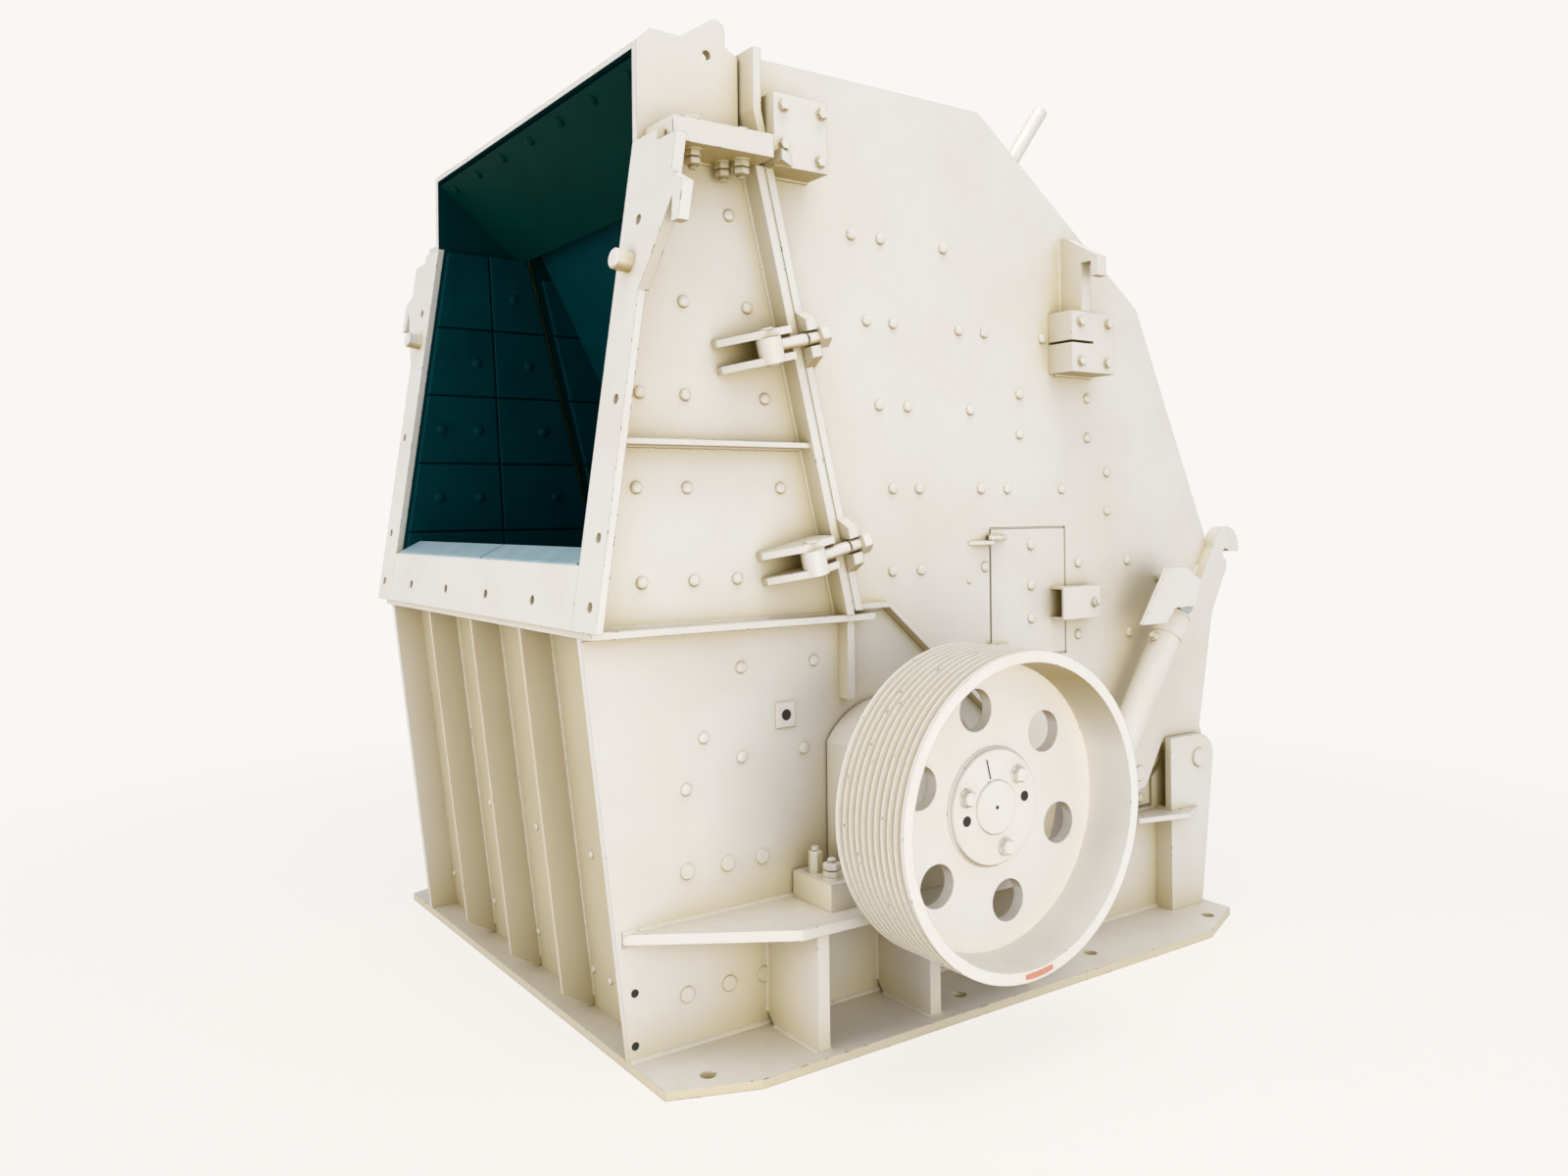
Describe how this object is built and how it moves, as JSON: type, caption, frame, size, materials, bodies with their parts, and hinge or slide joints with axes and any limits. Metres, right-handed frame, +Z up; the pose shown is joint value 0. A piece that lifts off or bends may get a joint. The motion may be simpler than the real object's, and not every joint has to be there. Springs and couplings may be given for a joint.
{
  "type": "horizontal shaft impact crusher",
  "caption": "Horizontal shaft impact crusher with a cream plate housing, open dark teal feed mouth, grooved drive pulley and a hinged rear housing opened by hydraulic cylinders.",
  "frame": {"origin": "middle of the foundation bolt pattern, on the underside of the base flange", "axes": "+X from the feed mouth to the hinged rear, Y along the rotor shaft with the drive pulley on the -Y side, +Z up"},
  "size_m": [2.7529, 2.505, 2.9349],
  "materials": {
    "cream_paint": "satin cream enamel on steel plate",
    "interior_paint": "satin dark teal enamel on wear plate",
    "wear_iron": "cast and ground edges",
    "chromed_rod": "chromed and polished"
  },
  "bodies": {
    "fixed_housing": {"base_flange_ends": "cream_paint", "base_flange_sides": "cream_paint", "bearing_blocks": "cream_paint", "bearing_shelves": "cream_paint", "clamp_bolts": "cream_paint", "cylinder_foot_pins": "cream_paint", "deck_flanges": "cream_paint", "feed_plate": "interior_paint", "front_split_flanges": "cream_paint", "front_wall_ribs": "cream_paint", "hinge_pins": "cream_paint", "hinge_posts": "cream_paint", "hood_flanges": "cream_paint", "hood_lining": "interior_paint", "hood_roof": "cream_paint", "hood_sides": "cream_paint", "inlet_liners": "interior_paint", "inlet_sides": "cream_paint", "lower_front_wall": "cream_paint", "lower_rear_wall": "cream_paint", "lower_sides": "cream_paint", "mouth_bars": "cream_paint", "mouth_sill": "cream_paint", "shelf_gussets": "cream_paint", "side_ribs": "cream_paint"},
    "rotor": {"rotor_shaft": "cream_paint", "rotor_body": "interior_paint", "blow_bars": "wear_iron", "drive_pulley": "cream_paint", "pulley_bush": "cream_paint"},
    "rear_housing": {"rear_sides": "cream_paint", "sill_flanges": "cream_paint", "side_hooks": "cream_paint", "rear_roof": "cream_paint", "rear_slope": "cream_paint", "rear_upper_back": "cream_paint", "rear_lower_back": "cream_paint", "rear_heel": "cream_paint", "rear_split_flanges": "cream_paint", "hinge_arms": "cream_paint", "clamp_ears": "cream_paint", "front_apron": "interior_paint", "rear_apron": "interior_paint", "apron_shafts": "interior_paint", "apron_pivot_blocks": "cream_paint", "adjusting_rods": "cream_paint", "cylinder_brackets": "cream_paint", "door_hinges": "cream_paint", "rear_liners": "interior_paint"},
    "inspection_door": {"inspection_door": "cream_paint", "door_latch": "cream_paint"},
    "cylinder_barrel_near": {"cylinder_barrel_near": "cream_paint"},
    "cylinder_rod_near": {"cylinder_rod_near": "chromed_rod"},
    "cylinder_barrel_far": {"cylinder_barrel_far": "cream_paint"},
    "cylinder_rod_far": {"cylinder_rod_far": "chromed_rod"}
  },
  "joints": [
    {"name": "rotor_spin", "type": "hinge", "parent": "fixed_housing", "child": "rotor", "pos_m": [-0.315, 0, 0.672], "axis": [0, 1, 0], "continuous": true},
    {"name": "rear_housing_open", "type": "hinge", "parent": "fixed_housing", "child": "rear_housing", "pos_m": [1.135, 0, 0.56], "axis": [0, 1, 0], "range_deg": [0, 45]},
    {"name": "door_swing", "type": "hinge", "parent": "rear_housing", "child": "inspection_door", "pos_m": [0.148, -0.816, 1.2025], "axis": [0, 0, -1], "range_deg": [0, 100]},
    {"name": "barrel_near_pivot", "type": "hinge", "parent": "fixed_housing", "child": "cylinder_barrel_near", "pos_m": [0.506, -0.905, 0.425], "axis": [0, 1, 0], "range_deg": [0, 21.32]},
    {"name": "rod_near_slide", "type": "slide", "parent": "cylinder_barrel_near", "child": "cylinder_rod_near", "axis": [0.5637, 0, 0.826], "range_m": [0, 0.2748]},
    {"name": "barrel_far_pivot", "type": "hinge", "parent": "fixed_housing", "child": "cylinder_barrel_far", "pos_m": [0.506, 0.905, 0.425], "axis": [0, 1, 0], "range_deg": [0, 21.32]},
    {"name": "rod_far_slide", "type": "slide", "parent": "cylinder_barrel_far", "child": "cylinder_rod_far", "axis": [0.5637, 0, 0.826], "range_m": [0, 0.2748]}
  ],
  "couplings": [
    {"joint": "barrel_near_pivot", "follows": "rear_housing_open", "ratio": 0.47155},
    {"joint": "rod_near_slide", "follows": "rear_housing_open", "m_per_rad": 0.34858},
    {"joint": "barrel_far_pivot", "follows": "rear_housing_open", "ratio": 0.47155},
    {"joint": "rod_far_slide", "follows": "rear_housing_open", "m_per_rad": 0.34858}
  ]
}
